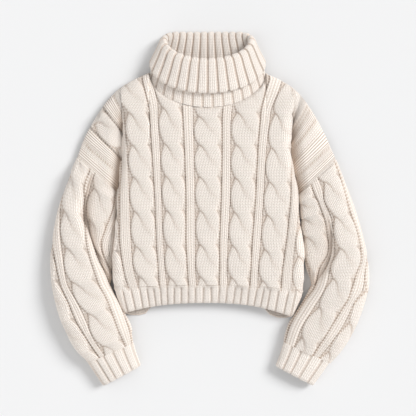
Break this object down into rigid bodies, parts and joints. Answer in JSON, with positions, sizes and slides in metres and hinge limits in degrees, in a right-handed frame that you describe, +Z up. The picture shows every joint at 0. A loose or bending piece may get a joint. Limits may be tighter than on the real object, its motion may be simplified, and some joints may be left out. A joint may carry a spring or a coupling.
{
  "type": "cropped knit sweater",
  "caption": "Cropped chunky cable-knit jumper laid flat, with a folded ribbed polo neck, drop shoulders, bent wide sleeves, ribbed cuffs and hem.",
  "frame": {"origin": "on the surface that the jumper lies on, under the middle of its outline", "axes": "+Z up out of the front, +Y towards the neck, +X to the viewer's right when looking down on the front"},
  "size_m": [0.667, 0.7412, 0.06],
  "materials": {
    "cable_knit": "matt cream wool, cable-knitted",
    "plain_knit": "matt cream wool, knitted",
    "rib_knit": "matt cream wool, ribbed"
  },
  "bodies": {
    "root": {"front": "cable_knit", "back": "plain_knit", "sleeve_left": "cable_knit", "sleeve_right": "cable_knit", "cuff_left": "rib_knit", "cuff_right": "rib_knit", "hem_rib": "rib_knit", "collar": "rib_knit"}
  },
  "joints": []
}
